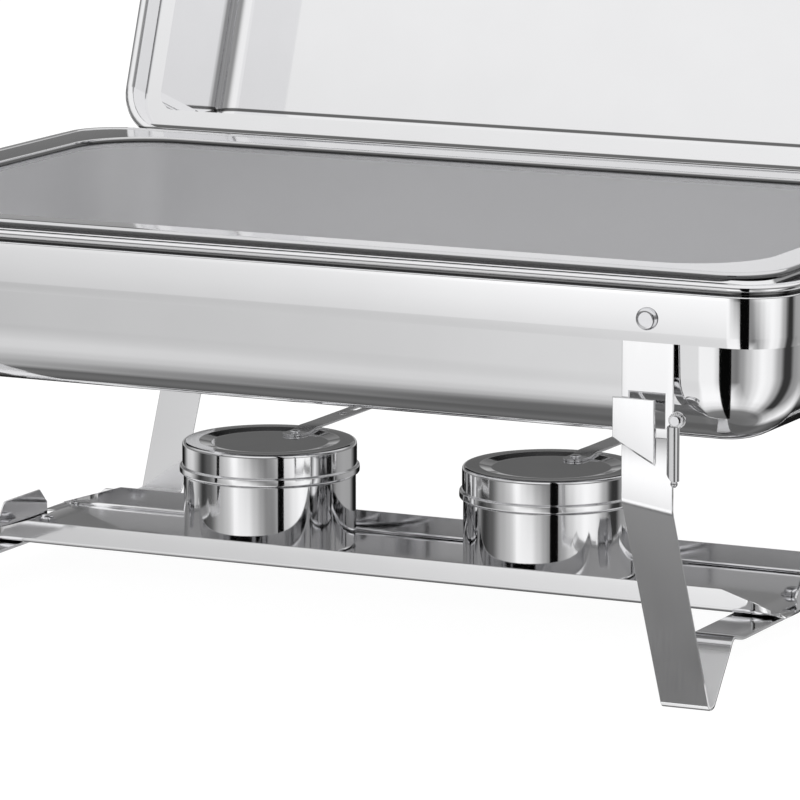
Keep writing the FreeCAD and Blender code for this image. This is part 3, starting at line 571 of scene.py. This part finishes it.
# ---------------------------------------------------------------- fuel holders
def holders():
    r, t = CUP_R, SPUN_WALL
    neck = r - 1.1
    cup = [(0, CUP_BASE + 1.0, 0, 0), (r - 6.4, CUP_BASE + 1.0, 0.8, 0), (r - 4.6, CUP_BASE, 0.8, 0),
           (r, CUP_BASE, 2.4, 0), (r, CUP_SHOULDER, 0.9, 0), (neck, CUP_SHOULDER, 0.1, 0),
           (neck, CUP_NECK, 0.3, 0), (neck - t, CUP_NECK, 0.3, 0), (neck - t, CUP_SHOULDER - t, 0.3, 0),
           (r - t, CUP_SHOULDER - t, 0.5, 0), (r - t, CUP_BASE + 1.8, 2.0, 0), (0, CUP_BASE + 1.8, 0, 0)]
    low, high, out = LID_LOW, LID_LOW + BEAD_TALL, LID_R + BEAD_OUT
    bed = LID_TOP - DISH_DEPTH
    lid = [(0, bed, 0, 0), (DISH_R - 3, bed, 4.0, 0), (DISH_R + 3, LID_TOP, 4.0, 0),
           (LID_R, LID_TOP, 1.9, 0), (LID_R, high, 0.4, 0), (out, high - 0.1, 1.6, 0), (out, low, 1.6, 0),
           (LID_R - t, low, 0.3, 0), (LID_R - t, LID_TOP - t, 1.1, 0), (DISH_R + 3, LID_TOP - t, 3.5, 0),
           (DISH_R - 3, bed - t, 3.5, 0), (0, bed - t, 0, 0)]
    for side, sign in (("left", -1), ("right", 1)):
        for stem, rows, body in (("fuel_cup", cup, "fuel_cup_"), ("snuffer_lid", lid, "snuffer_")):
            sheet = Sheet()
            sheet.turned([(a, b) for a, b, _ in fillet(rows, False, 6)], sign * CUP_X, SHELF_Y)
            sheet.piece("%s_%s_spun" % (stem, side), "%s_%s" % (stem, side), body + side)


food_pan()
rim_band()
water_pan()
end_frame("right", 1)
end_frame("left", -1)
shelf()
holders()
for name, piece in frame["nodes"].items():
    if name.startswith(("bracket", "latch_b", "latch_f", "snuffer_handle", "hinge_arm", "hinge_bracket")):
        round_edges(piece, WORN_EDGE)


# ---------------------------------------------------------------- stage, light and camera
def floor():
    bpy.ops.mesh.primitive_plane_add(size=FLOOR_SIZE, location=(0.0, 0.0, -FLOOR_DROP))
    plane = bpy.context.object
    plane.name = "floor"
    material, tree, bsdf = new_material("floor_paper")
    bsdf.inputs["Base Color"].default_value = (PAPER_GREY, PAPER_GREY, PAPER_GREY, 1.0)
    bsdf.inputs["Roughness"].default_value = 0.9
    bsdf.inputs["Specular IOR Level"].default_value = 0.0
    bsdf.inputs["Emission Color"].default_value = (1.0, 1.0, 1.0, 1.0)
    bsdf.inputs["Emission Strength"].default_value = PAPER_GLOW
    plane.data.materials.append(material)
    plane.visible_glossy = False


def dark_card():
    """Narrow black flag beside the front right corner: the dark stripe that polished corners show."""
    mesh = bpy.data.meshes.new("dark_card")
    x, y = CARD_AT
    turn = math.atan2(x - BAND_X / 1000, BAND_Y / -1000 - y)
    across = (math.cos(turn) * CARD_WIDE / 2, math.sin(turn) * CARD_WIDE / 2)
    corners = [(x - across[0], MIDDLE_Y + y - across[1]), (x + across[0], MIDDLE_Y + y + across[1])]
    (ax, ay), (bx, by) = corners
    outline = [(ax, ay, CARD_LOW), (bx, by, CARD_LOW), (bx, by, CARD_HIGH), (ax, ay, CARD_HIGH)]
    mesh.from_pydata(outline, [], [(0, 1, 2, 3)])
    item = bpy.data.objects.new("dark_card", mesh)
    material, tree, bsdf = new_material("flag_cloth")
    bsdf.inputs["Base Color"].default_value = (CARD_BLACK, CARD_BLACK, CARD_BLACK, 1.0)
    bsdf.inputs["Roughness"].default_value = 1.0
    bsdf.inputs["Specular IOR Level"].default_value = 0.0
    mesh.materials.append(material)
    item.visible_camera = item.visible_diffuse = item.visible_shadow = False
    bpy.context.scene.collection.objects.link(item)


# grey seen in each direction round the object: degrees from the serving side, towards the right-hand end
LEVEL = [(-180, 0.06), (-154, 0.03), (-140, 0.12), (-115, 0.9), (-98, 0.9), (-86, 0.5), (-72, 0.04),
         (-60, 0.14), (-42, 0.50), (-32, 0.74), (-28, 0.90), (-24, 1.22), (-19, 1.1), (-12, 0.6), (-4, 0.25),
         (5, 0.05), (20, 0.1), (26, 0.32), (40, 0.75), (50, 0.95), (60, 1.1), (72, 1.07), (85, 0.94),
         (98, 0.46), (106, 0.15), (111, 0.03), (117, 0.03), (124, 0.25), (130, 0.42), (160, 0.40),
         (172, 0.30), (180, 0.06)]
BELOW = [(-180, 0.03), (-140, 0.05), (-110, 0.5), (-95, 0.6), (-75, 0.04), (-60, 0.1), (-42, 0.44),
         (-32, 0.54), (-28, 0.62), (-24, 0.76), (-21, 1.0), (-2, 1.0), (8, 0.7), (16, 0.45), (24, 0.25),
         (32, 0.2), (40, 0.35), (50, 0.6), (60, 0.85), (70, 1.05), (82, 0.95), (98, 0.4), (108, 0.04),
         (118, 0.04), (128, 0.30), (142, 0.38), (165, 0.36), (180, 0.03)]
UNDER_LEFT, UNDER_RIGHT = 0.72, 1.08              # well below, in front: the white table top
# the same by height: sine of the elevation, -1 to 1
GAIN = [(-1.0, 0.15), (-0.905, 0.20), (-0.89, 0.38), (-0.856, 0.68), (-0.797, 0.88), (-0.7, 1.0),
        (-0.13, 1.0), (-0.08, 0.0), (1.0, 0.0)]
ABOVE = [(-1.0, 0.0), (-0.13, 0.0), (-0.08, 0.12), (-0.055, 0.13), (-0.02, 0.30), (0.0, 0.38), (0.08, 0.2),
         (0.17, 0.15), (0.215, 0.32), (0.34, 0.3), (0.5, 0.95), (1.0, 0.95)]
BEHIND = [(-1.0, 0.12), (-0.88, 0.12), (-0.794, 0.16), (-0.643, 0.10), (-0.5, 0.03), (-0.357, 0.01),
          (-0.16, 0.01), (-0.05, 0.35), (0.0, 0.5), (0.09, 0.4), (0.15, 0.22), (0.19, 0.10),
          (0.212, 0.24), (0.34, 0.15), (0.5, 0.85), (1.0, 0.95)]
# where one part of the studio gives way to the next, by the parts of the direction seen
LEVEL_Z = (-0.206, -0.146)                        # BELOW to LEVEL
UNDER_Z = (-0.6, -0.28)                           # table top to BELOW
UNDER_X = (-0.42, -0.30)                          # UNDER_LEFT to UNDER_RIGHT
SIDE_X = (0.3, 0.6)                               # past this no table top shows
REAR_WAY = (-0.438, 0.899)                        # level direction to the middle of BEHIND, x and y
REAR = (0.72, 0.9)                                # front to BEHIND
STEEP_Z, STEEP_SHIFT = (-0.75, -0.5), 0.14        # straight down, BEHIND starts sooner


def sky():
    """World: pale backdrop for the camera, banded studio reflections for polished metal."""
    world = bpy.data.worlds.new("studio")
    bpy.context.scene.world = world
    world.use_nodes = True
    tree = world.node_tree
    tree.nodes.clear()
    out = add(tree, "OutputWorld")
    axes = add(tree, "SeparateXYZ")
    tree.links.new(add(tree, "TexCoord").outputs["Generated"], axes.inputs[0])
    x, y, z = axes.outputs
    turn = math_node(tree, "ARCTAN2", x, math_node(tree, "MULTIPLY", y, -1.0))
    share = math_node(tree, "ADD", math_node(tree, "MULTIPLY", turn, 0.5 / math.pi), 0.5)
    height = math_node(tree, "ADD", math_node(tree, "MULTIPLY", z, 0.5), 0.5)
    level = ramp(tree, share, [((a + 180) / 360, g) for a, g in LEVEL])
    below = ramp(tree, share, [((a + 180) / 360, g) for a, g in BELOW])
    heights = {}
    for key, stops in (("gain", GAIN), ("above", ABOVE), ("behind", BEHIND)):
        heights[key] = ramp(tree, height, [((s + 1) / 2, g) for s, g in stops])
    upper = span(tree, z, *LEVEL_Z)
    lower = math_node(tree, "MAXIMUM", span(tree, z, *UNDER_Z), span(tree, x, *SIDE_X))
    under = blend(tree, span(tree, x, *UNDER_X), UNDER_LEFT, UNDER_RIGHT)
    bands = blend(tree, lower, under, blend(tree, upper, below, level))
    front = math_node(tree, "ADD", math_node(tree, "MULTIPLY", bands, heights["gain"]), heights["above"])
    facing = math_node(tree, "ADD", math_node(tree, "MULTIPLY", x, REAR_WAY[0]),
                       math_node(tree, "MULTIPLY", y, REAR_WAY[1]))
    level_part = math_node(tree, "SUBTRACT", 1.0, math_node(tree, "MULTIPLY", z, z))
    flat = math_node(tree, "SQRT", math_node(tree, "MAXIMUM", level_part, 0.0001))
    steep = math_node(tree, "MULTIPLY", opposite(tree, span(tree, z, *STEEP_Z)), STEEP_SHIFT)
    rear = span(tree, math_node(tree, "ADD", math_node(tree, "DIVIDE", facing, flat), steep), *REAR)
    glow = blend(tree, rear, front, heights["behind"])
    path = add(tree, "LightPath")
    reflected = add(tree, "Background", Strength=1.0)
    tree.links.new(glow, reflected.inputs["Color"])
    plain = add(tree, "Background", Color=(1.0, 1.0, 1.0, 1.0), Strength=1.0)
    mix = add(tree, "MixShader")
    tree.links.new(path.outputs["Is Glossy Ray"], mix.inputs[0])
    tree.links.new(plain.outputs[0], mix.inputs[1])
    tree.links.new(reflected.outputs[0], mix.inputs[2])
    tree.links.new(mix.outputs[0], out.inputs[0])


def camera():
    data = bpy.data.cameras.new("camera")
    data.lens, data.sensor_width = CAMERA_LENS, SENSOR
    item = bpy.data.objects.new("camera", data)
    item.location = (CAMERA_OFFSET[0], MIDDLE_Y + CAMERA_OFFSET[1], CAMERA_OFFSET[2])
    item.rotation_euler = [math.radians(a) for a in CAMERA_TURN]
    bpy.context.scene.collection.objects.link(item)
    bpy.context.scene.camera = item


floor()
dark_card()
sky()
camera()
bpy.context.scene.view_settings.view_transform = "Standard"
